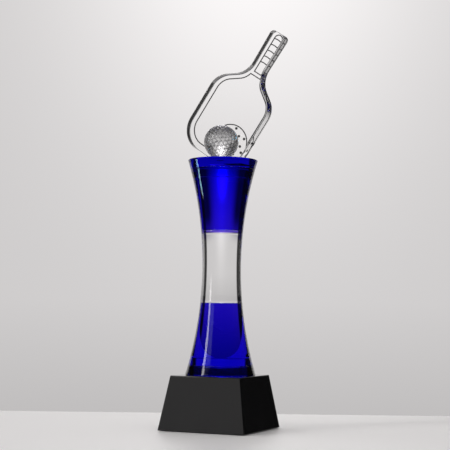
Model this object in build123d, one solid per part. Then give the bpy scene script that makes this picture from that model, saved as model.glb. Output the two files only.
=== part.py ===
"""Column trophy: a clear paddle and a crystal ball on a waisted glass column with a black crystal base.

Millimetres, +Z up. The origin is the centre of the underside, where the trophy stands. The front faces -Y.
From the bottom up it is a felt pad, a tapered black crystal block, a solid waisted column of blue, clear and
blue glass, and on the column's cap a tilted paddle plate with a ball standing in front of it.
Thin films of cured adhesive hold the glass together. Nothing on the trophy moves.
"""
from build123d import *
from math import atan, cos, degrees, radians, sin, sqrt, tan
import os

# Base: felt pad under a tapered block
PAD_SIDE = 92.0
PAD_THICKNESS = 0.6
PAD_CORNER = 4.0
BASE_BOTTOM_SIDE = 100.0
BASE_TOP_SIDE = 81.0
BASE_TOP_Z = 58.4
BASE_BEVEL = 0.9

# Cured adhesive
FILM = 0.1
FILM_INSET = 0.6

# Column: the outer wall is one arc of revolution about the waist
WAIST_Z = 175.0
WAIST_RADIUS = 21.0
WALL_ARC = 405.0
COLUMN_BOTTOM_Z = BASE_TOP_Z + FILM
COLUMN_TOP_Z = 291.8
END_DISC_THICKNESS = 10.5
MIDDLE_HALF_LENGTH = 39.0
SEAM_BEVEL = 0.3
RIM_BEVEL = 0.7

# Ball
BALL_RADIUS = 18.75
BALL_X = 2.4
BALL_Y = -10.6
BALL_FLAT_DEPTH = 0.3

# Paddle plate. U runs across the paddle from its own axis, V along it from blade to handle.
PLATE_THICKNESS = 15.0
PLATE_BACK_Y = 23.5
PLATE_BEVEL = 0.7
PADDLE_TILT = 33.7
PADDLE_AXIS_SHIFT = -26.8
SHOULDER_SLOPE = 33.5
BLADE_HALF_WIDTH = 38.8
BLADE_END_V = -8.1
BLADE_CORNER = 26.2
SHOULDER_V = 73.8
SHOULDER_RADIUS = 24.0
NECK_HALF_WIDTH = 7.9
NECK_RADIUS = 24.5
HANDLE_HALF_WIDTH = 9.1
HANDLE_END_V = 149.2
HANDLE_CORNER = 4.9

# Engraving, cut into the back face of the plate
GROOVE_WIDTH = 1.2
GROOVE_DEPTH = 0.6
CONTOUR_HALF_WIDTH = 33.6
CONTOUR_END_V = -1.0
CONTOUR_CORNER = 19.0
CONTOUR_SHOULDER_V = 72.0
CONTOUR_SHOULDER_RADIUS = 18.8
CONTOUR_NECK_HALF_WIDTH = 6.3
CONTOUR_NECK_RADIUS = 20.0
CONTOUR_CLOSE_V = 95.0
GRIP_HALF_WIDTH = 4.7
GRIP_START_V = 99.2
GRIP_END_V = 147.2
GRIP_LINES = 5
GRIP_LINE_PITCH = 7.35
GRIP_FIRST_LINE_V = 112.4
GRIP_LINE_RADIUS = 14.0

# Engraved ball in front of the blade's corner. Each ring: its radius, its holes, the angle of the first.
DISC_X = -0.3
DISC_RISE = 21.5
DISC_RADIUS = 20.8
DISC_GAP = 1.2
HOLE_RADIUS = 1.5
HOLE_RINGS = ((17.9, 7, 63.0), (13.3, 7, 32.0), (6.8, 5, 50.0))

FOOT_SEAM_Z = COLUMN_BOTTOM_Z + END_DISC_THICKNESS
LOWER_SEAM_Z = WAIST_Z - MIDDLE_HALF_LENGTH
UPPER_SEAM_Z = WAIST_Z + MIDDLE_HALF_LENGTH
CAP_SEAM_Z = COLUMN_TOP_Z - END_DISC_THICKNESS
STAND_Z = COLUMN_TOP_Z + FILM


def wall_radius(z):
    """Distance from the column's axis to its wall, which curves outwards about the waist."""
    return WAIST_RADIUS + WALL_ARC - sqrt(WALL_ARC**2 - (z - WAIST_Z) ** 2)


def cut_of_wall(low_z, high_z, low_bevel, high_bevel):
    """The solid inside the outer wall between two heights, with its two rims bevelled."""
    low = (wall_radius(low_z + low_bevel), low_z + low_bevel)
    middle_z = (low_z + high_z) / 2
    middle = (wall_radius(middle_z), middle_z)
    high = (wall_radius(high_z - high_bevel), high_z - high_bevel)
    low_rim = (wall_radius(low_z) - low_bevel, low_z)
    high_rim = (wall_radius(high_z) - high_bevel, high_z)
    outline = ThreePointArc(low, middle, high) + Polyline(
        high, high_rim, (0, high_z), (0, low_z), low_rim, low
    )
    return revolve(Plane.XZ * make_face(outline), Axis.Z)


def disc(radius, low_z, thickness, x=0, y=0):
    return Pos(x, y, low_z) * extrude(Circle(radius), thickness)


def save(solid, name):
    solid.label = name
    export_step(solid, f"parts/{name}.step")


os.makedirs("parts", exist_ok=True)


# Base ------------------------------------------------------------------------------------------------

save(extrude(RectangleRounded(PAD_SIDE, PAD_SIDE, PAD_CORNER), PAD_THICKNESS), "base_pad")

base_height = BASE_TOP_Z - PAD_THICKNESS
base_taper = degrees(atan((BASE_BOTTOM_SIDE - BASE_TOP_SIDE) / 2 / base_height))
underside = Pos(0, 0, PAD_THICKNESS) * Rectangle(BASE_BOTTOM_SIDE, BASE_BOTTOM_SIDE)
block = extrude(underside, base_height, taper=base_taper)
save(chamfer(block.edges(), BASE_BEVEL), "base_block")


# Column ----------------------------------------------------------------------------------------------

COLUMN_PIECES = (
    ("column_foot", COLUMN_BOTTOM_Z, FOOT_SEAM_Z, RIM_BEVEL, SEAM_BEVEL),
    ("lower_column", FOOT_SEAM_Z + FILM, LOWER_SEAM_Z, SEAM_BEVEL, SEAM_BEVEL),
    ("middle_column", LOWER_SEAM_Z + FILM, UPPER_SEAM_Z, SEAM_BEVEL, SEAM_BEVEL),
    ("upper_column", UPPER_SEAM_Z + FILM, CAP_SEAM_Z, SEAM_BEVEL, SEAM_BEVEL),
    ("column_cap", CAP_SEAM_Z + FILM, COLUMN_TOP_Z, SEAM_BEVEL, RIM_BEVEL),
)
for name, low_z, high_z, low_bevel, high_bevel in COLUMN_PIECES:
    save(cut_of_wall(low_z, high_z, low_bevel, high_bevel), name)

FILMS = (
    ("base_adhesive", BASE_TOP_Z, RIM_BEVEL),
    ("foot_adhesive", FOOT_SEAM_Z, SEAM_BEVEL),
    ("lower_adhesive", LOWER_SEAM_Z, SEAM_BEVEL),
    ("upper_adhesive", UPPER_SEAM_Z, SEAM_BEVEL),
    ("cap_adhesive", CAP_SEAM_Z, SEAM_BEVEL),
)
for name, low_z, bevel in FILMS:
    save(disc(wall_radius(low_z) - bevel - FILM_INSET, low_z, FILM), name)


# Ball ------------------------------------------------------------------------------------------------

ball = Pos(BALL_X, BALL_Y, STAND_Z + BALL_RADIUS - BALL_FLAT_DEPTH) * Sphere(BALL_RADIUS)
save(split(ball, Plane.XY.offset(STAND_Z), keep=Keep.TOP), "crystal_ball")

ball_flat_radius = sqrt(BALL_RADIUS**2 - (BALL_RADIUS - BALL_FLAT_DEPTH) ** 2)
save(disc(ball_flat_radius, COLUMN_TOP_Z, FILM, BALL_X, BALL_Y), "ball_adhesive")


# Paddle ----------------------------------------------------------------------------------------------

def paddle_plane(y):
    """The plane of the paddle's U and V axes at a given depth. Its normal faces the front."""
    across = Vector(cos(radians(PADDLE_TILT)), 0, -sin(radians(PADDLE_TILT)))
    origin = Vector(0, y, STAND_Z) + across * PADDLE_AXIS_SHIFT
    return Plane(origin=origin, x_dir=across, z_dir=(0, -1, 0))


def paddle_shape(corners):
    """A shape symmetric about the paddle's axis, from its right-hand corners as U, V and fillet radius."""
    corners = corners + [(-u, v, radius) for u, v, radius in reversed(corners)]
    points = [(u, v) for u, v, radius in corners]
    radii = [radius for u, v, radius in corners]
    return make_face(FilletPolyline(*points, radius=radii, close=True))


def shoulder_height(half_width, shoulder_v, u):
    """V where the sloping shoulder that starts at the blade's side reaches a given U."""
    return shoulder_v + (half_width - u) * tan(radians(SHOULDER_SLOPE))


def paddle_outline():
    neck_v = shoulder_height(BLADE_HALF_WIDTH, SHOULDER_V, NECK_HALF_WIDTH)
    corners = [
        (BLADE_HALF_WIDTH, BLADE_END_V, BLADE_CORNER),
        (BLADE_HALF_WIDTH, SHOULDER_V, SHOULDER_RADIUS),
        (NECK_HALF_WIDTH, neck_v, NECK_RADIUS),
        (HANDLE_HALF_WIDTH, HANDLE_END_V, HANDLE_CORNER),
    ]
    return paddle_shape(corners)


def contour_shape(inset):
    """The blade's engraved outline moved inwards, closed by a straight line across the neck."""
    shift = inset * (tan(radians(SHOULDER_SLOPE)) - 1 / cos(radians(SHOULDER_SLOPE)))
    side_u = CONTOUR_HALF_WIDTH - inset
    neck_u = CONTOUR_NECK_HALF_WIDTH - inset
    shoulder_v = CONTOUR_SHOULDER_V + shift
    neck_v = shoulder_height(side_u, shoulder_v, neck_u)
    top_v = neck_v + 2 * CONTOUR_NECK_RADIUS
    corners = [
        (side_u, CONTOUR_END_V + inset, CONTOUR_CORNER - inset),
        (side_u, shoulder_v, CONTOUR_SHOULDER_RADIUS - inset),
        (neck_u, neck_v, CONTOUR_NECK_RADIUS + inset),
        (neck_u, top_v, 0),
    ]
    above = Pos(0, CONTOUR_CLOSE_V - inset) * Rectangle(
        2 * BLADE_HALF_WIDTH, 2 * top_v, align=(Align.CENTER, Align.MIN)
    )
    return paddle_shape(corners) - above


def grip_shape(inset):
    """The long box on the handle, square at the neck and round at the handle's end."""
    half = GRIP_HALF_WIDTH - inset
    round_v = GRIP_END_V - GRIP_HALF_WIDTH
    low_v = GRIP_START_V + inset
    box = Pos(0, (low_v + round_v) / 2) * Rectangle(2 * half, round_v - low_v)
    return box + Pos(0, round_v) * Circle(half)


def groove_between(shape):
    """The groove centred on a shape's outline."""
    return shape(-GROOVE_WIDTH / 2) - shape(GROOVE_WIDTH / 2)


def grip_lines():
    """Short arched grooves across the grip box."""
    arcs = []
    for index in range(GRIP_LINES):
        top_v = GRIP_FIRST_LINE_V + index * GRIP_LINE_PITCH
        centre = Pos(0, top_v - GRIP_LINE_RADIUS)
        half = GROOVE_WIDTH / 2
        ring = Circle(GRIP_LINE_RADIUS + half) - Circle(GRIP_LINE_RADIUS - half)
        strip = Pos(0, GRIP_LINE_RADIUS) * Rectangle(2 * GRIP_HALF_WIDTH, GRIP_LINE_RADIUS)
        arcs.append(centre * (ring & strip))
    return arcs


def engraved_ball(centre):
    """A circle with rings of small round holes inside it."""
    half = GROOVE_WIDTH / 2
    marks = [Pos(centre) * (Circle(DISC_RADIUS + half) - Circle(DISC_RADIUS - half))]
    for ring, count, first in HOLE_RINGS:
        for index in range(count):
            angle = radians(first + PADDLE_TILT + index * 360 / count)
            offset = Vector(ring * cos(angle), ring * sin(angle))
            marks.append(Pos(centre + offset) * Circle(HOLE_RADIUS))
    return marks


back_plane = paddle_plane(PLATE_BACK_Y)
plate = extrude(back_plane * paddle_outline(), PLATE_THICKNESS)
plate_faces = plate.faces().sort_by(Axis.Y)
plate = chamfer(plate_faces[0].edges() + plate_faces[-1].edges(), PLATE_BEVEL)
plate = split(plate, Plane.XY.offset(STAND_Z), keep=Keep.TOP)

disc_centre = back_plane.to_local_coords(Vector(DISC_X, PLATE_BACK_Y, STAND_Z + DISC_RISE))
clear_of_ball = Pos(disc_centre) * Circle(DISC_RADIUS + DISC_GAP)
engraving = Sketch() + [
    groove_between(contour_shape) - clear_of_ball,
    groove_between(grip_shape),
    *grip_lines(),
    *engraved_ball(disc_centre),
]
plate -= extrude(back_plane * engraving, GROOVE_DEPTH)
save(plate, "paddle_plate")

plate_foot = plate.faces().sort_by(Axis.Z)[0].bounding_box()
paddle_film = Rectangle(plate_foot.size.X - 2 * FILM_INSET, plate_foot.size.Y - 2 * FILM_INSET)
film_place = Pos(plate_foot.center().X, plate_foot.center().Y, COLUMN_TOP_Z)
save(film_place * extrude(paddle_film, FILM), "paddle_adhesive")
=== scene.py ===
"""Looks for the column trophy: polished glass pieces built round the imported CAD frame, on a pale table.

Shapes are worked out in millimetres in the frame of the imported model, +Z up and -Y the front, and are
scaled to metres as each mesh is made. Glass pieces that are glued to each other carry a "bonded" mark on
the glued faces, where light passes on from one piece to the next with little or no optical step.
"""

from math import asin, cos, degrees, pi, radians, sin, sqrt, tan

import bmesh
import bpy
from mathutils import Matrix, Vector, noise
from mathutils.geometry import delaunay_2d_cdt
from mathutils.kdtree import KDTree


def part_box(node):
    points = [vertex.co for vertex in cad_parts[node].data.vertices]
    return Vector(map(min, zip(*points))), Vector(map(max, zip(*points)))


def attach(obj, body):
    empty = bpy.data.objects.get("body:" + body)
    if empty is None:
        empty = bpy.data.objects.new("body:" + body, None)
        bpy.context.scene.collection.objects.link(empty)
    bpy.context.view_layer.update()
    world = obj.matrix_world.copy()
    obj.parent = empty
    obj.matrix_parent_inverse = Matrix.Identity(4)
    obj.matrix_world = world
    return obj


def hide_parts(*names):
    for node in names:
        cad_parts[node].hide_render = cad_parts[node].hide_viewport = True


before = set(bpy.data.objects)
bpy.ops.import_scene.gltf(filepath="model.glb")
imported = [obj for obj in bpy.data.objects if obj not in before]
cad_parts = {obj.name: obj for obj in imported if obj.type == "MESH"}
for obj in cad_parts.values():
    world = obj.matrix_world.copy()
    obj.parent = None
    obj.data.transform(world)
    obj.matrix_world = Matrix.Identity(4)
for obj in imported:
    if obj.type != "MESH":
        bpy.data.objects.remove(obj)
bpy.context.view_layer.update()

MM = 0.001
BODY = "root"

# Points closer in height than LEVEL are level, and those closer together than MERGE are one. Millimetres.
LEVEL = 1e-4
MERGE = 1e-5


def node_box(name):
    """The lowest and highest corner of a CAD node, in millimetres."""
    low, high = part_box(name)
    return low / MM, high / MM


# Heights and depths read from the frame
BASE_LOW, BASE_HIGH = node_box("base_block")
PAD_LOW, PAD_HIGH = node_box("base_pad")
CAP_LOW, CAP_HIGH = node_box("column_cap")
BALL_LOW, BALL_HIGH = node_box("crystal_ball")
PLATE_LOW, PLATE_HIGH = node_box("paddle_plate")
STAND_Z = BALL_LOW.z

# Column: its wall is an arc of revolution about the waist
WAIST_Z = 175.0
WAIST_RADIUS = 21.0
WALL_ARC = 405.0
SEAM_BEVEL = 0.15
RIM_BEVEL = 0.7
BEVEL_STEPS = 4
LATHE_SEGMENTS = 192
WALL_STEP = 1.6

# Base and pad
BASE_TOP_SIDE = 81.0
BASE_BOTTOM_SIDE = 100.0
BASE_BEVEL = 0.8
PAD_CORNER = 4.0
PAD_SOFT_EDGE = 0.15
PAD_EDGE_STEP = 1.0
PAD_WOBBLE = 0.12
PAD_WOBBLE_PITCH = 1.7

# Ball
BALL_FLAT_DEPTH = 0.3
FLAT_SEGMENTS = 48
BALL_SUBDIVISIONS = 7
DIMPLE_FREQUENCY = 5
DIMPLE_RADIUS = 1.95
DIMPLE_DEPTH = 0.42
# Painted shade: the ball's glass darkens in its base colour on the ridges, from this share of a dimple's
# radius outwards
RIDGE_SHADE_START = 0.8
DIMPLE_TURN_X = radians(21)
DIMPLE_TURN_Z = radians(34)

# Paddle plate. U runs across the paddle from its own axis, V along it from blade to handle.
PLATE_BEVEL = 0.7
SIDE_MARGIN = 0.25
PADDLE_TILT = radians(33.7)
PADDLE_AXIS_SHIFT = -26.8
SHOULDER_SLOPE = radians(33.5)
BLADE_HALF_WIDTH = 38.8
BLADE_END_V = -8.1
BLADE_CORNER = 26.2
SHOULDER_V = 73.8
SHOULDER_RADIUS = 24.0
NECK_HALF_WIDTH = 7.9
NECK_RADIUS = 24.5
HANDLE_HALF_WIDTH = 9.1
HANDLE_END_V = 149.2
HANDLE_CORNER = 4.9
ARC_STEPS = 28

# Engraving in the back of the plate
GROOVE_WIDTH = 1.2
GROOVE_DEPTH = 0.6
CONTOUR_HALF_WIDTH = 33.6
CONTOUR_END_V = -1.0
CONTOUR_CORNER = 19.0
CONTOUR_SHOULDER_V = 72.0
CONTOUR_SHOULDER_RADIUS = 18.8
CONTOUR_NECK_HALF_WIDTH = 6.3
CONTOUR_NECK_RADIUS = 20.0
CONTOUR_TOP_RADIUS = 1.0
CONTOUR_CLOSE_V = 95.0
GRIP_HALF_WIDTH = 4.7
GRIP_START_V = 99.2
GRIP_END_V = 147.2
GRIP_LINES = 5
GRIP_LINE_PITCH = 7.35
GRIP_FIRST_LINE_V = 112.4
GRIP_LINE_RADIUS = 14.0
GRIP_END_STEP = radians(8)
GRIP_LINE_STEP = radians(3)
DISC_X = -0.3
DISC_RISE = 21.5
DISC_RADIUS = 20.8
DISC_GAP = 1.2
HOLE_RADIUS = 1.5
DISC_SEGMENTS = 96
HOLE_SEGMENTS = 20
HOLE_RINGS = ((17.9, 7, 63.0), (13.3, 7, 32.0), (6.8, 5, 50.0))

# Glue: a bead at each seam, a fillet under the ball, and the films in the column with the bevel beside each
BEAD_WIDTH = 0.5
BEAD_CLEARANCE = 0.02
FILLET_WIDTH = 1.0
FILLET_INSET = 0.1
FILLET_REACH = 0.9
FILLET_LEAST = 0.03
FILLET_STEPS = 4
FILLET_SEGMENTS = 96
SEAMS = (
    ("base_adhesive", "base_glue", RIM_BEVEL),
    ("foot_adhesive", "foot_glue", SEAM_BEVEL),
    ("lower_adhesive", "lower_glue", SEAM_BEVEL),
    ("upper_adhesive", "upper_glue", SEAM_BEVEL),
    ("cap_adhesive", "cap_glue", SEAM_BEVEL),
)

# Materials. The foot's seam is a weaker bond, so light that grazes it is thrown back. Depths are in metres.
GLASS_IOR = 1.52
BONDED_IOR = 1.0
BASE_BONDED_IOR = 1.03
FOOT_BOND = 0.948
BLUE_TINT = (0.26, 0.04, 0.965, 1)
BLUE_DENSITY = 115.0
SMUDGE_SCALE = 45.0
SMUDGE_ROUGHNESS = 0.03
WAVE_SCALE = 60.0
WAVE_DEPTH = 0.000002
# Painted shade: the base colour of the ball's glass on the ridges between its dimples, darker to show their
# rims
RIDGE_PAINTED_SHADE = (0.42, 0.42, 0.43, 1)
FROST_COLOUR = (0.02, 0.02, 0.021, 1)
FROST_TRANSMISSION = 0.4
FROST_SCALE = 2500.0
FROST_ROUGHNESS = (0.45, 0.7)
FROST_DEPTH = 0.00004
BLACK_COLOUR = (0.0035, 0.0035, 0.004, 1)
HAZE_SCALE = 35.0
HAZE_ROUGHNESS = (0.05, 0.11)
MARK_SCALE = 900.0
MARK_DEPTH = 0.000004
FELT_COLOURS = ((0.012, 0.012, 0.013, 1), (0.05, 0.05, 0.053, 1))
FELT_ROUGHNESS = 0.95
FELT_SHEEN = 0.4
FIBRE_SCALE = 1800.0
FIBRE_DEPTH = 0.0002
GLUE_COLOUR = (0.96, 0.97, 0.98, 1)
GLUE_TRANSMISSION = 0.9
GLUE_IOR = 1.49
MILK_SCALE = 400.0
MILK_ROUGHNESS = (0.08, 0.3)
TABLE_COLOURS = ((0.80, 0.795, 0.79, 1), (0.84, 0.835, 0.83, 1))
TABLE_SCALE = 140.0
TABLE_ROUGHNESS = (0.42, 0.55)
TABLE_IOR = 1.45

# Camera, from the front and a little to the right
CAMERA_AZIMUTH = radians(24.0)
CAMERA_LOCATION = (0.5420, -1.2173, 0.12657)
CAMERA_LENS = 98.02
CAMERA_PITCH = radians(4.056)
CAMERA_YAW = radians(-0.130)
CAMERA_ROLL = radians(0.7025)

# Table
TABLE_BEHIND = 0.212
TABLE_FRONT = 0.42
TABLE_HALF_WIDTH = 0.42
APRON_BEHIND = 0.246

# Backdrop. Turn is the angle to the right of the camera's line, lift the angle above the horizon, in degrees.
EVEN_LIFTS = (-30, 0.5)
EVEN_LIGHT = (0.08, 0.615)
PATCH_TURN = (1.5, 6.5)
PATCH_LIFT = (20, 9)
PATCH_LIGHT = 0.42
FADE_TURNS = (11, 28)
FADE_LIFTS = (7, 15)
FADED_LIGHT = 0.07
BACKDROP_EDGE = (37, 41)
LEAST_BACKDROP = 0.42
LAMP_TURN = (0.5, 4.0)
LAMP_LIFTS = (15, 24)
LAMP_LIGHT = 2.8

# Other lights of the studio. A patch has a range and a soft edge of turn, and the same of lift.
STRIP_PATCH = ((-119, -113, 4), (8, 46, 5))
STRIP_LIGHT = 6.5
SOFT_PATCH = ((-139, -126, 3), (12, 23, 5))
SOFT_LIGHT = 0.6
LOW_PATCH = ((-81, -75, 2), (-13.5, -9, 1))
LOW_LIGHT = 8.0
OVERHEAD_LIFTS = (55, 75)
OVERHEAD_LIGHT = 0.8
WALL_TURNS = (56, 74, 6)
WALL_LIGHT = 0.35
ROOM_TURNS = (85, 100)
ROOM_LIGHT = 0.45
LEAST_REFLECTED = 0.015
LEAST_TRANSMITTED = 0.01
DIFFUSE_LIGHT = 0.58
STUDIO_COLOUR = (1.0, 0.975, 0.975, 1)
LOW_LIGHT_COLOUR = (0.35, 0.75, 1.0, 1)
KEY_SIZE = 0.9
KEY_POWER = 4.0
KEY_LOCATION = (-0.7, -0.3, 1.5)
KEY_AIM = (0, 0, 0.1)


# Pieces ----------------------------------------------------------------------------------------------

def add_piece(name, mesh_data, materials, node):
    """Turn a bmesh in millimetres into a piece of the trophy that stands for one CAD node."""
    bmesh.ops.recalc_face_normals(mesh_data, faces=mesh_data.faces)
    bmesh.ops.scale(mesh_data, vec=(MM, MM, MM), verts=mesh_data.verts)
    mesh = bpy.data.meshes.new(name)
    mesh_data.to_mesh(mesh)
    mesh_data.free()
    piece = bpy.data.objects.new(name, mesh)
    bpy.context.scene.collection.objects.link(piece)
    for material in materials:
        mesh.materials.append(material)
    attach(piece, BODY)
    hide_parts(node)


def new_bmesh():
    """A bmesh with the face layer that marks glued faces."""
    bm = bmesh.new()
    bm.faces.layers.float.new("bonded")
    return bm


def mark_bonded(bm, faces, share=1.0):
    """Mark glued faces. A share of 1 is a perfect optical bond, 0 is none."""
    layer = bm.faces.layers.float["bonded"]
    for face in faces:
        face[layer] = share


def wall_radius(z):
    """Distance from the column's axis to its wall, which curves outwards about the waist."""
    return WAIST_RADIUS + WALL_ARC - sqrt(WALL_ARC**2 - (z - WAIST_Z) ** 2)


def steps(low, high, pitch):
    """Evenly spaced values from low to high, about a pitch apart."""
    count = max(2, round(abs(high - low) / pitch))
    return [low + (high - low) * index / count for index in range(count + 1)]


def rim(z, radius, bevel, outward):
    """A rounded rim in the lathe profile, from the wall to the end face. Outward is 1 at a top end."""
    points = []
    for index in range(1, BEVEL_STEPS):
        angle = pi / 2 * index / BEVEL_STEPS
        points.append((radius - bevel * (1 - cos(angle)), z - outward * bevel * (1 - sin(angle))))
    return points


def outer_wall(low_z, high_z, low_bevel, high_bevel):
    """The outside of a column piece from its bottom end face up to its top end face."""
    low_radius = wall_radius(low_z + low_bevel)
    high_radius = wall_radius(high_z - high_bevel)
    wall = [(wall_radius(z), z) for z in steps(low_z + low_bevel, high_z - high_bevel, WALL_STEP)]
    return (
        [(low_radius - low_bevel, low_z)]
        + rim(low_z, low_radius, low_bevel, -1)[::-1]
        + wall
        + rim(high_z, high_radius, high_bevel, 1)
        + [(high_radius - high_bevel, high_z)]
    )


def lathe(profile, closed):
    """Turn a profile of (radius, z) about the axis. A closed profile is a ring's section."""
    bm = new_bmesh()
    rings = []
    for radius, z in profile:
        if radius == 0:
            rings.append([bm.verts.new((0, 0, z))])
            continue
        turns = [2 * pi * index / LATHE_SEGMENTS for index in range(LATHE_SEGMENTS)]
        rings.append([bm.verts.new((radius * cos(turn), radius * sin(turn), z)) for turn in turns])
    pairs = list(zip(rings, rings[1:] + rings[:1] if closed else rings[1:]))
    for one, other in pairs:
        flat = abs(one[0].co.z - other[0].co.z) < LEVEL
        for index in range(LATHE_SEGMENTS):
            after = (index + 1) % LATHE_SEGMENTS
            corners = [one[index % len(one)], one[after % len(one)],
                       other[after % len(other)], other[index % len(other)]]
            face = bm.faces.new(list(dict.fromkeys(corners)))
            face.smooth = not flat
    return bm


def end_faces(bm, z):
    """The flat faces at one height."""
    return [face for face in bm.faces if all(abs(vert.co.z - z) < LEVEL for vert in face.verts)]


def make_column_piece(node, name, low_bevel, material, low_bond, high_bond):
    """One solid length of the column, glued at both ends."""
    low, high = node_box(node)
    profile = [(0, low.z)] + outer_wall(low.z, high.z, low_bevel, SEAM_BEVEL) + [(0, high.z)]
    bm = lathe(profile, False)
    mark_bonded(bm, end_faces(bm, low.z), low_bond)
    mark_bonded(bm, end_faces(bm, high.z), high_bond)
    add_piece(name, bm, [material], node)


def circle(x, y, radius, count):
    """Points round a circle."""
    turns = [2 * pi * index / count for index in range(count)]
    return [(x + radius * cos(turn), y + radius * sin(turn)) for turn in turns]


def plate_foot():
    """The rectangle where the plate stands on the cap, as its four corners in X and Y."""
    foot = [x for x, z in paddle_outline(0) if abs(z - STAND_Z) < LEVEL]
    low_x, high_x = min(foot), max(foot)
    return [(low_x, PLATE_LOW.y), (high_x, PLATE_LOW.y), (high_x, PLATE_HIGH.y), (low_x, PLATE_HIGH.y)]


def ball_place():
    """The ball's centre and radius. Its flat lies below the centre, at the foot of its box."""
    centre = (BALL_LOW + BALL_HIGH) / 2
    radius = (BALL_HIGH.x - BALL_LOW.x) / 2
    return Vector((centre.x, centre.y, BALL_HIGH.z - radius)), radius


def ball_flat_radius():
    """The radius of the flat on which the ball stands."""
    radius = ball_place()[1]
    return sqrt(radius**2 - (radius - BALL_FLAT_DEPTH) ** 2)


def make_cap(material):
    """The cap. Its top face is cut where the ball and the plate are glued to it."""
    low_z, high_z = CAP_LOW.z, CAP_HIGH.z
    outside = outer_wall(low_z, high_z, SEAM_BEVEL, RIM_BEVEL)
    bm = lathe([(0, low_z)] + outside, False)
    mark_bonded(bm, end_faces(bm, low_z))
    centre, _ = ball_place()
    loops = [
        circle(0, 0, outside[-1][0], LATHE_SEGMENTS),
        circle(centre.x, centre.y, ball_flat_radius(), FLAT_SEGMENTS),
        plate_foot(),
    ]
    points, triangles = triangulate(loops)
    verts = [bm.verts.new((x, y, high_z)) for x, y in points]
    for corners in triangles:
        face = bm.faces.new([verts[index] for index in corners])
        face.smooth = False
        x, y = middle([points[index] for index in corners])
        if inside(loops[1], x, y) or inside(loops[2], x, y):
            mark_bonded(bm, [face])
    bmesh.ops.remove_doubles(bm, verts=bm.verts, dist=LEVEL)
    add_piece("cap_disc", bm, [material], "column_cap")


# Flat outlines ---------------------------------------------------------------------------------------

def triangulate(loops):
    """Triangles that fill the outermost loop and keep the edges of them all."""
    points = [Vector(point) for loop in loops for point in loop]
    edges = []
    for loop in loops:
        first = len(edges)
        count = len(loop)
        edges += [(first + index, first + (index + 1) % count) for index in range(count)]
    made = delaunay_2d_cdt(points, edges, [], 1, MERGE, False)
    points = [tuple(point) for point in made[0]]
    triangles = [list(corners) for corners in made[2]]
    filled = [corners for corners in triangles if inside(loops[0], *middle([points[c] for c in corners]))]
    return points, filled


def middle(points):
    """The mean of some flat points."""
    return sum(x for x, _ in points) / len(points), sum(y for _, y in points) / len(points)


def inside(loop, x, y):
    """Whether a point lies inside a closed loop."""
    found = False
    for (x1, y1), (x2, y2) in zip(loop, loop[1:] + loop[:1]):
        if (y1 > y) != (y2 > y) and x < x1 + (y - y1) / (y2 - y1) * (x2 - x1):
            found = not found
    return found


def inset_corners(corners, inset):
    """Move each side of an outline inwards. The outline runs anticlockwise as (u, v, radius)."""
    moved = []
    for index, (u, v, radius) in enumerate(corners):
        before = Vector(corners[index - 1][:2])
        here = Vector((u, v))
        after = Vector(corners[(index + 1) % len(corners)][:2])
        arrive = (here - before).normalized()
        leave = (after - here).normalized()
        arrive_side = Vector((-arrive.y, arrive.x))
        leave_side = Vector((-leave.y, leave.x))
        place = here + (arrive_side + leave_side) * inset / (1 + arrive_side.dot(leave_side))
        turn = arrive.x * leave.y - arrive.y * leave.x
        moved.append((place.x, place.y, radius - inset if turn > 0 else radius + inset))
    return moved


def rounded(corners):
    """The points of an outline, each corner rounded by its own radius."""
    points = []
    for index, (u, v, radius) in enumerate(corners):
        here = Vector((u, v))
        to_before = (Vector(corners[index - 1][:2]) - here).normalized()
        to_after = (Vector(corners[(index + 1) % len(corners)][:2]) - here).normalized()
        half = to_before.angle(to_after) / 2
        centre = here + (to_before + to_after).normalized() * radius / sin(half)
        start = here + to_before * radius / tan(half) - centre
        turn = 1 if to_before.x * to_after.y - to_before.y * to_after.x < 0 else -1
        sweep = (pi - 2 * half) * turn
        for step in range(ARC_STEPS + 1):
            spoke = start.copy()
            spoke.rotate(Matrix.Rotation(sweep * step / ARC_STEPS, 2))
            points.append(tuple(centre + spoke))
    return points


def mirrored(corners):
    """A symmetric outline from its right-hand corners, bottom to top."""
    return corners + [(-u, v, radius) for u, v, radius in reversed(corners)]


def place_paddle(points):
    """Points of the paddle's own U and V as X and Z of the trophy."""
    placed = []
    for u, v in points:
        across = u + PADDLE_AXIS_SHIFT
        x = across * cos(PADDLE_TILT) + v * sin(PADDLE_TILT)
        z = STAND_Z - across * sin(PADDLE_TILT) + v * cos(PADDLE_TILT)
        placed.append((x, z))
    return placed


def shoulder_height(half_width, shoulder_v, u):
    """V on the sloping shoulder, at a distance U from the paddle's axis."""
    return shoulder_v + (half_width - u) * tan(SHOULDER_SLOPE)


def paddle_outline(inset):
    """The plate's outline in X and Z, cut level where it stands on the cap."""
    neck_v = shoulder_height(BLADE_HALF_WIDTH, SHOULDER_V, NECK_HALF_WIDTH)
    corners = mirrored([
        (BLADE_HALF_WIDTH, BLADE_END_V, BLADE_CORNER),
        (BLADE_HALF_WIDTH, SHOULDER_V, SHOULDER_RADIUS),
        (NECK_HALF_WIDTH, neck_v, NECK_RADIUS),
        (HANDLE_HALF_WIDTH, HANDLE_END_V, HANDLE_CORNER),
    ])
    points = place_paddle(rounded(inset_corners(corners, inset)))
    return [(x, max(z, STAND_Z)) for x, z in points]


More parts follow.
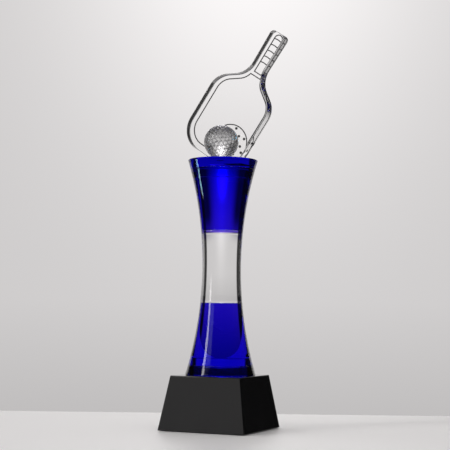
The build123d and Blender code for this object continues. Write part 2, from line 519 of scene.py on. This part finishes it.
def contour_loop(inset):
    """One edge of the groove that follows the blade, closed straight across the neck."""
    neck_v = shoulder_height(CONTOUR_HALF_WIDTH, CONTOUR_SHOULDER_V, CONTOUR_NECK_HALF_WIDTH)
    corners = mirrored([
        (CONTOUR_HALF_WIDTH, CONTOUR_END_V, CONTOUR_CORNER),
        (CONTOUR_HALF_WIDTH, CONTOUR_SHOULDER_V, CONTOUR_SHOULDER_RADIUS),
        (CONTOUR_NECK_HALF_WIDTH, neck_v, CONTOUR_NECK_RADIUS),
        (CONTOUR_NECK_HALF_WIDTH, neck_v + 2 * CONTOUR_NECK_RADIUS, CONTOUR_TOP_RADIUS),
    ])
    points = rounded(inset_corners(corners, inset))
    return place_paddle([(u, min(v, CONTOUR_CLOSE_V - inset)) for u, v in points])


def grip_loop(inset):
    """One edge of the long box on the handle, round at the handle's end."""
    half = GRIP_HALF_WIDTH - inset
    round_v = GRIP_END_V - GRIP_HALF_WIDTH
    arc = [(half * cos(turn), round_v + half * sin(turn)) for turn in steps(0, pi, GRIP_END_STEP)]
    return place_paddle([(-half, GRIP_START_V + inset), (half, GRIP_START_V + inset)] + arc)


def grip_line_loop(index):
    """The outline of one arched groove across the grip box."""
    centre_v = GRIP_FIRST_LINE_V + index * GRIP_LINE_PITCH - GRIP_LINE_RADIUS
    half = GROOVE_WIDTH / 2
    edges = []
    for radius in (GRIP_LINE_RADIUS - half, GRIP_LINE_RADIUS + half):
        reach = asin(GRIP_HALF_WIDTH / radius)
        turns = steps(-reach, reach, GRIP_LINE_STEP)
        edges.append([(radius * sin(turn), centre_v + radius * cos(turn)) for turn in turns])
    return place_paddle(edges[0] + edges[1][::-1])


def engraving():
    """All the loops of the engraving, and a test of whether a point lies in a groove."""
    half = GROOVE_WIDTH / 2
    disc = (DISC_X, STAND_Z + DISC_RISE)
    contour = (contour_loop(-half), contour_loop(half))
    grip = (grip_loop(-half), grip_loop(half))
    ring = (
        circle(*disc, DISC_RADIUS + half, DISC_SEGMENTS),
        circle(*disc, DISC_RADIUS - half, DISC_SEGMENTS),
    )
    clear = circle(*disc, DISC_RADIUS + DISC_GAP, DISC_SEGMENTS)
    marks = [grip_line_loop(index) for index in range(GRIP_LINES)]
    for radius, count, first in HOLE_RINGS:
        for index in range(count):
            turn = radians(first + index * 360 / count)
            x, z = disc[0] + radius * cos(turn), disc[1] + radius * sin(turn)
            marks.append(circle(x, z, HOLE_RADIUS, HOLE_SEGMENTS))

    def in_groove(x, z):
        if any(inside(mark, x, z) for mark in marks):
            return True
        if inside(ring[0], x, z) != inside(ring[1], x, z):
            return True
        if inside(grip[0], x, z) != inside(grip[1], x, z):
            return True
        return inside(contour[0], x, z) != inside(contour[1], x, z) and not inside(clear, x, z)

    return [*contour, *grip, *ring, clear, *marks], in_groove


def make_plate(clear, frosted):
    """The paddle plate: a polished, bevelled plate with frosted grooves cut into its back."""
    bm = new_bmesh()
    front, back = PLATE_LOW.y, PLATE_HIGH.y
    layers = []
    for index in range(BEVEL_STEPS + 1):
        turn = pi / 2 * index / BEVEL_STEPS
        layers.append((PLATE_BEVEL * (1 - sin(turn)), PLATE_BEVEL * (1 - cos(turn))))
    layers.append((0.0, PLATE_BEVEL + SIDE_MARGIN))
    sections = [(front + depth, inset) for inset, depth in layers]
    sections += [(back - depth, inset) for inset, depth in reversed(layers)]
    rings = []
    for y, inset in sections:
        rings.append([bm.verts.new((x, y, z)) for x, z in paddle_outline(inset)])
    for one, other in zip(rings, rings[1:]):
        for index in range(len(one)):
            after = (index + 1) % len(one)
            bm.faces.new([one[index], one[after], other[after], other[index]])
    for face in bm.faces:
        face.smooth = True
    outline = paddle_outline(PLATE_BEVEL)
    add_flat_face(bm, [outline], front, lambda x, z: False, front)
    loops, in_groove = engraving()
    add_flat_face(bm, [outline] + loops, back, in_groove, back - GROOVE_DEPTH)
    bmesh.ops.remove_doubles(bm, verts=bm.verts, dist=LEVEL)
    bmesh.ops.dissolve_degenerate(bm, dist=MERGE, edges=bm.edges)
    foot = end_faces(bm, STAND_Z)
    for face in foot:
        face.smooth = False
    mark_bonded(bm, foot)
    add_piece("engraved_paddle", bm, [clear, frosted], "paddle_plate")


def add_flat_face(bm, loops, y, sunk, sunk_y):
    """Fill the first loop at one depth. Where the test says so the face is sunk, with walls round it."""
    points, triangles = triangulate(loops)
    level = [bm.verts.new((x, y, z)) for x, z in points]
    floor = {}
    sides = {}
    for corners in triangles:
        low = sunk(*middle([points[index] for index in corners]))
        verts = []
        for index in corners:
            if low and index not in floor:
                floor[index] = bm.verts.new((points[index][0], sunk_y, points[index][1]))
            verts.append(floor[index] if low else level[index])
        face = bm.faces.new(verts)
        face.smooth = False
        face.material_index = 1 if low else 0
        for one, other in zip(corners, corners[1:] + corners[:1]):
            sides.setdefault(frozenset((one, other)), []).append(low)
    for edge, lows in sides.items():
        if len(lows) == 2 and lows[0] != lows[1]:
            one, other = tuple(edge)
            wall = bm.faces.new([level[one], level[other], floor[other], floor[one]])
            wall.smooth = False
            wall.material_index = 1
    for vert in level:
        if not vert.link_faces:
            bm.verts.remove(vert)


# Ball ------------------------------------------------------------------------------------------------

def geodesic_points(frequency):
    """Points spread evenly over a sphere: an icosahedron with each edge cut into equal parts."""
    bm = bmesh.new()
    bmesh.ops.create_icosphere(bm, subdivisions=1, radius=1.0)
    found = {}
    for face in bm.faces:
        a, b, c = (vert.co for vert in face.verts)
        for i in range(frequency + 1):
            for j in range(frequency + 1 - i):
                point = (a * i + b * j + c * (frequency - i - j)).normalized()
                found[tuple(round(value, 4) for value in point)] = point
    bm.free()
    return list(found.values())


def make_ball(material):
    """The ball, pressed all over with round dimples and cut flat where it stands."""
    bm = new_bmesh()
    centre, radius = ball_place()
    bmesh.ops.create_icosphere(bm, subdivisions=BALL_SUBDIVISIONS, radius=1.0)
    dimples = geodesic_points(DIMPLE_FREQUENCY)
    turned = Matrix.Rotation(DIMPLE_TURN_X, 3, "X") @ Matrix.Rotation(DIMPLE_TURN_Z, 3, "Z")
    tree = KDTree(len(dimples))
    for index, dimple in enumerate(dimples):
        tree.insert(turned @ dimple, index)
    tree.balance()
    # Each point's share of painted shade, rising to 1 on the ridges between dimples
    ridge_shade_layer = bm.verts.layers.float.new("painted_ridge_shade")
    for vert in bm.verts:
        direction = vert.co.normalized()
        distance = tree.find(direction)[2] * radius / DIMPLE_RADIUS
        vert[ridge_shade_layer] = min(1.0, max(0.0, (distance - RIDGE_SHADE_START) / (1 - RIDGE_SHADE_START)))
        depth = DIMPLE_DEPTH * max(0.0, 1 - distance**2)
        place = centre + direction * (radius - depth)
        vert.co = (place.x, place.y, max(place.z, STAND_Z))
    for face in bm.faces:
        face.smooth = True
    flat = end_faces(bm, STAND_Z)
    for face in flat:
        face.smooth = False
    mark_bonded(bm, flat)
    add_piece("dimpled_ball", bm, [material], "crystal_ball")


# Base, pad and glue ----------------------------------------------------------------------------------

def make_base(material):
    """The tapered black block with its polished, slightly rounded edges."""
    bm = new_bmesh()
    corners = []
    for side, z in ((BASE_BOTTOM_SIDE, BASE_LOW.z), (BASE_TOP_SIDE, BASE_HIGH.z)):
        half = side / 2
        square = ((-half, -half), (half, -half), (half, half), (-half, half))
        corners.append([bm.verts.new((x, y, z)) for x, y in square])
    low, high = corners
    bm.faces.new(low[::-1])
    bm.faces.new(high)
    for index in range(4):
        after = (index + 1) % 4
        bm.faces.new([low[index], low[after], high[after], high[index]])
    rounded_edges = bmesh.ops.bevel(
        bm, geom=bm.edges[:], offset=BASE_BEVEL, segments=BEVEL_STEPS, profile=0.5,
        affect="EDGES", clamp_overlap=True)
    for face in rounded_edges["faces"]:
        face.smooth = True
    top = max(bm.faces, key=lambda face: face.calc_center_median().z)
    edge = [(vert.co.x, vert.co.y) for vert in top.verts]
    bmesh.ops.delete(bm, geom=[top], context="FACES_ONLY")
    foot = circle(0, 0, wall_radius(BASE_HIGH.z) - RIM_BEVEL, LATHE_SEGMENTS)
    points, triangles = triangulate([edge, foot])
    verts = [bm.verts.new((x, y, BASE_HIGH.z)) for x, y in points]
    for corners in triangles:
        face = bm.faces.new([verts[index] for index in corners])
        if inside(foot, *middle([points[index] for index in corners])):
            mark_bonded(bm, [face])
    bmesh.ops.remove_doubles(bm, verts=bm.verts, dist=LEVEL)
    add_piece("base_body", bm, [material], "base_block")


def make_pad(material):
    """The felt pad, its cut edge a little uneven."""
    bm = new_bmesh()
    half = (PAD_HIGH.x - PAD_LOW.x) / 2
    low_z, high_z = PAD_LOW.z, PAD_HIGH.z
    points = []
    outline = rounded(mirrored([(half, -half, PAD_CORNER), (half, half, PAD_CORNER)]))
    for (x1, y1), (x2, y2) in zip(outline, outline[1:] + outline[:1]):
        count = max(1, round(sqrt((x2 - x1) ** 2 + (y2 - y1) ** 2) / PAD_EDGE_STEP))
        points += [(x1 + (x2 - x1) * k / count, y1 + (y2 - y1) * k / count) for k in range(count)]
    sections = (
        (low_z, PAD_SOFT_EDGE),
        (low_z + PAD_SOFT_EDGE, 0),
        (high_z - PAD_SOFT_EDGE, 0),
        (high_z, PAD_SOFT_EDGE),
    )
    rings = []
    for z, inset in sections:
        ring = []
        for x, y in points:
            place = Vector((x * PAD_WOBBLE_PITCH, y * PAD_WOBBLE_PITCH, z))
            wobble = PAD_WOBBLE * (noise.noise(place) - 0.5)
            scale = 1 + (wobble - inset) / half
            ring.append(bm.verts.new((x * scale, y * scale, z)))
        rings.append(ring)
    for one, other in zip(rings, rings[1:]):
        for index in range(len(one)):
            after = (index + 1) % len(one)
            face = bm.faces.new([one[index], one[after], other[after], other[index]])
            face.smooth = True
    bm.faces.new(rings[0][::-1])
    bm.faces.new(rings[-1])
    add_piece("felt_pad", bm, [material], "base_pad")


def bead_section(inner, outer, low_z, high_z):
    """The section of a thin ring of glue, bulging at both sides."""
    mid_z = (low_z + high_z) / 2
    quarter = (high_z - low_z) / 4
    return [
        (inner + quarter, low_z), (outer - quarter, low_z), (outer, mid_z), (outer - quarter, high_z),
        (inner + quarter, high_z), (inner, mid_z),
    ]


def make_seam_glue(node, name, bevel, material):
    """The visible edge of a glue film in the column: a fine bead in the groove between two bevels."""
    low, high = node_box(node)
    outer = wall_radius(low.z) - bevel
    section = bead_section(outer - BEAD_WIDTH, outer, low.z + BEAD_CLEARANCE, high.z - BEAD_CLEARANCE)
    bm = lathe(section, True)
    for face in bm.faces:
        face.smooth = True
    add_piece(name, bm, [material], node)


def make_ball_glue(material):
    """A small fillet of glue in the gap under the ball, following the ball's curve."""
    bm = new_bmesh()
    centre, radius = ball_place()
    low_z = CAP_HIGH.z + BEAD_CLEARANCE
    inner = ball_flat_radius() + FILLET_INSET
    section = [(inner, low_z), (inner + FILLET_WIDTH, low_z)]
    for step in range(FILLET_STEPS, -1, -1):
        distance = inner + FILLET_WIDTH * step / FILLET_STEPS * FILLET_REACH
        gap = centre.z - sqrt(radius**2 - distance**2) - low_z - 2 * BEAD_CLEARANCE
        section.append((distance, low_z + max(gap, FILLET_LEAST)))
    rings = []
    for distance, z in section:
        around = circle(centre.x, centre.y, distance, FILLET_SEGMENTS)
        rings.append([bm.verts.new((x, y, z)) for x, y in around])
    for one, other in zip(rings, rings[1:] + rings[:1]):
        for index in range(FILLET_SEGMENTS):
            after = (index + 1) % FILLET_SEGMENTS
            face = bm.faces.new([one[index], one[after], other[after], other[index]])
            face.smooth = True
    add_piece("ball_glue", bm, [material], "ball_adhesive")


def make_plate_glue(material):
    """The thin line of glue round the foot of the plate."""
    bm = new_bmesh()
    (low_x, low_y), _, (high_x, high_y), _ = plate_foot()
    low_z, high_z = CAP_HIGH.z + BEAD_CLEARANCE, STAND_Z - BEAD_CLEARANCE
    rings = []
    for inset, z in ((0.0, low_z), (0.0, high_z), (BEAD_WIDTH, high_z), (BEAD_WIDTH, low_z)):
        corners = [(low_x + inset, low_y + inset), (high_x - inset, low_y + inset),
                   (high_x - inset, high_y - inset), (low_x + inset, high_y - inset)]
        rings.append([bm.verts.new((x, y, z)) for x, y in corners])
    for one, other in zip(rings, rings[1:] + rings[:1]):
        for index in range(4):
            after = (index + 1) % 4
            bm.faces.new([one[index], one[after], other[after], other[index]])
    add_piece("plate_glue", bm, [material], "paddle_adhesive")


# Materials -------------------------------------------------------------------------------------------

def add_node(tree, kind, settings=None, inputs=None):
    """Add a node, set its properties, and give each named input a value or a link."""
    made = tree.nodes.new(kind)
    for name, value in (settings or {}).items():
        setattr(made, name, value)
    for name, value in (inputs or {}).items():
        if isinstance(value, bpy.types.NodeSocket):
            tree.links.new(value, made.inputs[name])
        else:
            made.inputs[name].default_value = value
    return made


def calc(tree, operation, one, other=0.0):
    made = add_node(tree, "ShaderNodeMath", {"operation": operation}, {0: one, 1: other})
    return made.outputs[0]


def ramp(tree, value, low, high, from_value=0.0, to_value=1.0, smooth=True):
    """A value that goes from one number to another as its input goes from low to high."""
    settings = {"interpolation_type": "SMOOTHSTEP" if smooth else "LINEAR", "clamp": True}
    inputs = {"Value": value, "From Min": low, "From Max": high, "To Min": from_value, "To Max": to_value}
    return add_node(tree, "ShaderNodeMapRange", settings, inputs).outputs["Result"]


def new_material(name):
    """An empty material with one principled shader."""
    material = bpy.data.materials.new(name)
    material.use_nodes = True
    tree = material.node_tree
    tree.nodes.clear()
    output = add_node(tree, "ShaderNodeOutputMaterial")
    shader = add_node(tree, "ShaderNodeBsdfPrincipled")
    tree.links.new(shader.outputs["BSDF"], output.inputs["Surface"])
    return material, tree, shader, output


def object_noise(tree, scale, detail, roughness=0.5):
    """Noise fixed to the object, its scale in waves a metre."""
    place = add_node(tree, "ShaderNodeTexCoord").outputs["Object"]
    inputs = {"Vector": place, "Scale": scale, "Detail": detail, "Roughness": roughness}
    return add_node(tree, "ShaderNodeTexNoise", None, inputs).outputs["Fac"]


def colour_mix(tree, share, one, other):
    """One colour where the share is 0 and the other where it is 1."""
    made = add_node(tree, "ShaderNodeMix", {"data_type": "RGBA"}, {"Factor": share, 6: one, 7: other})
    return made.outputs[2]


def add_bump(tree, shader, height, depth, strength):
    """Fine relief in a surface."""
    bump = add_node(tree, "ShaderNodeBump", None, {"Height": height, "Distance": depth, "Strength": strength})
    tree.links.new(bump.outputs["Normal"], shader.inputs["Normal"])


def bonded_index(tree, bonded_value):
    """The refractive index of a surface: that of glass, or another value where the surface is glued."""
    bonded = add_node(tree, "ShaderNodeAttribute", {"attribute_name": "bonded"}).outputs["Fac"]
    return ramp(tree, bonded, 0, 1, GLASS_IOR, bonded_value, False)


def glass(name, absorption=None, shade_ridges=False):
    """Polished optical glass with a faint waviness and a few smudges, tinted if it absorbs light.

    On the ball, painted shade darkens the base colour on the ridges between its dimples.
    """
    material, tree, shader, output = new_material(name)
    shader.inputs["Base Color"].default_value = (1, 1, 1, 1)
    shader.inputs["Transmission Weight"].default_value = 1.0
    shader.inputs["IOR"].default_value = GLASS_IOR
    tree.links.new(bonded_index(tree, BONDED_IOR), shader.inputs["IOR"])
    smudges = ramp(tree, object_noise(tree, SMUDGE_SCALE, 4.0), 0.6, 0.85, 0.0, SMUDGE_ROUGHNESS)
    tree.links.new(smudges, shader.inputs["Roughness"])
    add_bump(tree, shader, object_noise(tree, WAVE_SCALE, 1.0), WAVE_DEPTH, 0.5)
    # Painted shade: the base colour darkens on the ridges between the ball's dimples
    if shade_ridges:
        painted_ridge_shade = add_node(tree, "ShaderNodeAttribute", {"attribute_name": "painted_ridge_shade"}).outputs["Fac"]
        tree.links.new(colour_mix(tree, painted_ridge_shade, (1, 1, 1, 1), RIDGE_PAINTED_SHADE), shader.inputs["Base Color"])
    if absorption:
        colour, density = absorption
        volume = add_node(tree, "ShaderNodeVolumeAbsorption", None, {"Color": colour, "Density": density})
        tree.links.new(volume.outputs["Volume"], output.inputs["Volume"])
    return material


def frosted_glass():
    """The sandblasted floor of a groove."""
    material, tree, shader, _ = new_material("frosted_engraving")
    shader.inputs["Base Color"].default_value = FROST_COLOUR
    shader.inputs["Transmission Weight"].default_value = FROST_TRANSMISSION
    shader.inputs["IOR"].default_value = GLASS_IOR
    grain = object_noise(tree, FROST_SCALE, 2.0)
    tree.links.new(ramp(tree, grain, 0.3, 0.7, *FROST_ROUGHNESS), shader.inputs["Roughness"])
    add_bump(tree, shader, grain, FROST_DEPTH, 0.6)
    return material


def black_crystal():
    """Opaque black glass, polished, with a little haze and a few fine marks."""
    material, tree, shader, _ = new_material("black_crystal")
    shader.inputs["Base Color"].default_value = BLACK_COLOUR
    shader.inputs["IOR"].default_value = GLASS_IOR
    tree.links.new(bonded_index(tree, BASE_BONDED_IOR), shader.inputs["IOR"])
    haze = object_noise(tree, HAZE_SCALE, 5.0, 0.6)
    tree.links.new(ramp(tree, haze, 0.35, 0.75, *HAZE_ROUGHNESS), shader.inputs["Roughness"])
    add_bump(tree, shader, object_noise(tree, MARK_SCALE, 3.0), MARK_DEPTH, 0.4)
    return material


def felt():
    """Pressed felt: short matted fibres, dark and dull."""
    material, tree, shader, _ = new_material("felt")
    fibres = object_noise(tree, FIBRE_SCALE, 6.0, 0.7)
    tree.links.new(colour_mix(tree, fibres, *FELT_COLOURS), shader.inputs["Base Color"])
    shader.inputs["Roughness"].default_value = FELT_ROUGHNESS
    shader.inputs["Sheen Weight"].default_value = FELT_SHEEN
    add_bump(tree, shader, fibres, FIBRE_DEPTH, 0.8)
    return material


def adhesive():
    """Clear cured glue, slightly milky."""
    material, tree, shader, _ = new_material("adhesive")
    shader.inputs["Base Color"].default_value = GLUE_COLOUR
    shader.inputs["Transmission Weight"].default_value = GLUE_TRANSMISSION
    shader.inputs["IOR"].default_value = GLUE_IOR
    milk = object_noise(tree, MILK_SCALE, 3.0)
    tree.links.new(ramp(tree, milk, 0.3, 0.7, *MILK_ROUGHNESS), shader.inputs["Roughness"])
    return material


def table_top():
    """A pale, smooth table."""
    material, tree, shader, _ = new_material("table_top")
    grain = object_noise(tree, TABLE_SCALE, 6.0, 0.6)
    tree.links.new(colour_mix(tree, grain, *TABLE_COLOURS), shader.inputs["Base Color"])
    tree.links.new(ramp(tree, grain, 0.3, 0.7, *TABLE_ROUGHNESS), shader.inputs["Roughness"])
    shader.inputs["IOR"].default_value = TABLE_IOR
    return material


# Studio ----------------------------------------------------------------------------------------------

def add_slab(name, near, far, material):
    """A level rectangle square to the camera, from one distance behind the trophy to another."""
    bm = bmesh.new()
    across = Vector((cos(CAMERA_AZIMUTH), sin(CAMERA_AZIMUTH), 0))
    away = Vector((-sin(CAMERA_AZIMUTH), cos(CAMERA_AZIMUTH), 0))
    floor_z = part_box("base_pad")[0].z
    for side, depth in ((-1, near), (1, near), (1, far), (-1, far)):
        place = across * side * TABLE_HALF_WIDTH + away * depth
        bm.verts.new((place.x, place.y, floor_z))
    bm.faces.new(bm.verts)
    mesh = bpy.data.meshes.new(name)
    bm.to_mesh(mesh)
    bm.free()
    slab = bpy.data.objects.new(name, mesh)
    bpy.context.scene.collection.objects.link(slab)
    mesh.materials.append(material)
    return slab


def add_table():
    """The table, and beyond its far edge a lit apron that only the glass shows."""
    material = table_top()
    add_slab("table", -TABLE_FRONT, TABLE_BEHIND, material)
    apron = add_slab("table_apron", TABLE_BEHIND, APRON_BEHIND, material)
    apron.visible_camera = False


def bell(tree, value, centre, width):
    """The exponent of a bell curve: minus half the squared distance in widths."""
    away = calc(tree, "DIVIDE", calc(tree, "SUBTRACT", value, centre), width)
    return calc(tree, "MULTIPLY", calc(tree, "MULTIPLY", away, away), -0.5)


def window(tree, value, low, high, soft):
    """1 between two values, falling to 0 over a soft edge outside them."""
    rise = ramp(tree, value, low - soft, low)
    fall = ramp(tree, value, high, high + soft, 1.0, 0.0)
    return calc(tree, "MULTIPLY", rise, fall)


def light_patch(tree, turn, lift, turns, lifts):
    """A rectangular light as seen from the trophy: 1 within its ranges of turn and lift."""
    return calc(tree, "MULTIPLY", window(tree, turn, *turns), window(tree, lift, *lifts))


def mix(tree, share, one, other):
    """One value where the share is 0 and the other where it is 1."""
    made = add_node(tree, "ShaderNodeMix", {"data_type": "FLOAT"}, {0: share, 2: one, 3: other})
    return made.outputs[0]


def add_world():
    """The studio: a lit backdrop with a lamp above it, lights on the left, and a dim room around."""
    world = bpy.data.worlds.new("studio")
    bpy.context.scene.world = world
    world.use_nodes = True
    tree = world.node_tree
    tree.nodes.clear()
    direction = add_node(tree, "ShaderNodeTexCoord").outputs["Generated"]
    turned = add_node(tree, "ShaderNodeVectorRotate", {"rotation_type": "Z_AXIS"},
                      {"Vector": direction, "Angle": -CAMERA_AZIMUTH}).outputs[0]
    parts = add_node(tree, "ShaderNodeSeparateXYZ", None, {0: turned}).outputs
    turn = calc(tree, "MULTIPLY", calc(tree, "ARCTAN2", parts[0], parts[1]), degrees(1))
    lift = calc(tree, "MULTIPLY", calc(tree, "ARCSINE", parts[2]), degrees(1))
    off_line = calc(tree, "ABSOLUTE", turn)

    # The backdrop: even, darker towards the floor, with a bright patch above the trophy
    even = ramp(tree, lift, *EVEN_LIFTS, *EVEN_LIGHT, False)
    patch = calc(tree, "ADD", bell(tree, turn, *PATCH_TURN), bell(tree, lift, *PATCH_LIFT))
    patch = calc(tree, "EXPONENT", patch)
    backdrop = calc(tree, "ADD", even, calc(tree, "MULTIPLY", patch, PATCH_LIGHT))

    # Its upper part fades to the sides, it ends at both sides, and a lamp hangs above its middle
    faded = ramp(tree, off_line, *FADE_TURNS, 1.0, FADED_LIGHT)
    fade = mix(tree, ramp(tree, lift, *FADE_LIFTS), 1.0, faded)
    lamp = calc(tree, "EXPONENT", bell(tree, turn, *LAMP_TURN))
    lamp = calc(tree, "MULTIPLY", lamp, ramp(tree, lift, *LAMP_LIFTS))
    ends = ramp(tree, off_line, *BACKDROP_EDGE, 1.0, 0.0)
    seen = calc(tree, "MULTIPLY", calc(tree, "MULTIPLY", backdrop, fade), ends)
    seen = calc(tree, "ADD", seen, calc(tree, "MULTIPLY", lamp, LAMP_LIGHT))

    # Reflections also show the lights to the left, and a light overhead
    low_light = light_patch(tree, turn, lift, *LOW_PATCH)
    reflected = seen
    for light, strength in (
        (light_patch(tree, turn, lift, *STRIP_PATCH), STRIP_LIGHT),
        (light_patch(tree, turn, lift, *SOFT_PATCH), SOFT_LIGHT),
        (ramp(tree, lift, *OVERHEAD_LIFTS), OVERHEAD_LIGHT),
        (low_light, LOW_LIGHT),
    ):
        reflected = calc(tree, "ADD", reflected, calc(tree, "MULTIPLY", light, strength))
    reflected = calc(tree, "MAXIMUM", reflected, LEAST_REFLECTED)

    # Glass lets through a grey wall to the right, and the pale room at the sides and behind the camera
    wall = calc(tree, "MULTIPLY", window(tree, turn, *WALL_TURNS), WALL_LIGHT)
    room = ramp(tree, off_line, *ROOM_TURNS, 0.0, ROOM_LIGHT)
    transmitted = calc(tree, "MAXIMUM", seen, room)
    transmitted = calc(tree, "ADD", transmitted, calc(tree, "MAXIMUM", wall, LEAST_TRANSMITTED))

    rays = add_node(tree, "ShaderNodeLightPath").outputs
    strength = mix(tree, rays["Is Transmission Ray"], reflected, transmitted)
    strength = mix(tree, rays["Is Diffuse Ray"], strength, DIFFUSE_LIGHT)
    pale = calc(tree, "MAXIMUM", backdrop, LEAST_BACKDROP)
    strength = mix(tree, rays["Is Camera Ray"], strength, pale)
    colour = colour_mix(tree, low_light, STUDIO_COLOUR, LOW_LIGHT_COLOUR)
    background = add_node(tree, "ShaderNodeBackground", None, {"Color": colour, "Strength": strength})
    output = add_node(tree, "ShaderNodeOutputWorld")
    tree.links.new(background.outputs[0], output.inputs["Surface"])


def add_key_light():
    """A large soft light above and to the left, for the shadow on the table."""
    light = bpy.data.lights.new("key_light", "AREA")
    light.shape = "RECTANGLE"
    light.size = KEY_SIZE
    light.size_y = KEY_SIZE
    light.energy = KEY_POWER
    key = bpy.data.objects.new("key_light", light)
    key.location = KEY_LOCATION
    key.rotation_euler = (Vector(KEY_AIM) - key.location).to_track_quat("-Z", "Y").to_euler()
    key.visible_camera = False
    key.visible_glossy = False
    key.visible_transmission = False
    bpy.context.scene.collection.objects.link(key)


def add_camera():
    data = bpy.data.cameras.new("camera")
    data.lens = CAMERA_LENS
    data.sensor_width = 36.0
    camera = bpy.data.objects.new("camera", data)
    bpy.context.scene.collection.objects.link(camera)
    heading = CAMERA_AZIMUTH + CAMERA_YAW
    ahead = Vector((-sin(heading) * cos(CAMERA_PITCH), cos(heading) * cos(CAMERA_PITCH), sin(CAMERA_PITCH)))
    level_right = ahead.cross(Vector((0, 0, 1))).normalized()
    level_up = level_right.cross(ahead)
    right = level_right * cos(CAMERA_ROLL) + level_up * sin(CAMERA_ROLL)
    up = level_up * cos(CAMERA_ROLL) - level_right * sin(CAMERA_ROLL)
    turn = Matrix((right, up, -ahead)).transposed().to_4x4()
    camera.matrix_world = Matrix.Translation(CAMERA_LOCATION) @ turn
    bpy.context.scene.camera = camera


def set_up_picture():
    scene = bpy.context.scene
    scene.view_settings.view_transform = "Standard"
    scene.cycles.max_bounces = 32
    scene.cycles.transmission_bounces = 32
    scene.cycles.glossy_bounces = 16
    scene.cycles.caustics_refractive = False
    scene.cycles.caustics_reflective = False


# The trophy ------------------------------------------------------------------------------------------

blue = glass("blue_crystal", (BLUE_TINT, BLUE_DENSITY))
clear = glass("clear_crystal")
glue = adhesive()

make_pad(felt())
make_base(black_crystal())
for node, name, low_bevel, material, slot, low_bond, high_bond in (
    ("column_foot", "foot_disc", RIM_BEVEL, blue, "blue_crystal", 1.0, FOOT_BOND),
    ("lower_column", "lower_length", SEAM_BEVEL, blue, "blue_crystal", FOOT_BOND, 1.0),
    ("middle_column", "middle_length", SEAM_BEVEL, clear, "clear_crystal", 1.0, 1.0),
    ("upper_column", "upper_length", SEAM_BEVEL, blue, "blue_crystal", 1.0, 1.0),
):
    make_column_piece(node, name, low_bevel, material, low_bond, high_bond)
make_cap(blue)
make_ball(glass("ball_crystal", shade_ridges=True))
make_plate(clear, frosted_glass())
for node, name, bevel in SEAMS:
    make_seam_glue(node, name, bevel, glue)
make_ball_glue(glue)
make_plate_glue(glue)

add_table()
add_world()
add_key_light()
add_camera()
set_up_picture()
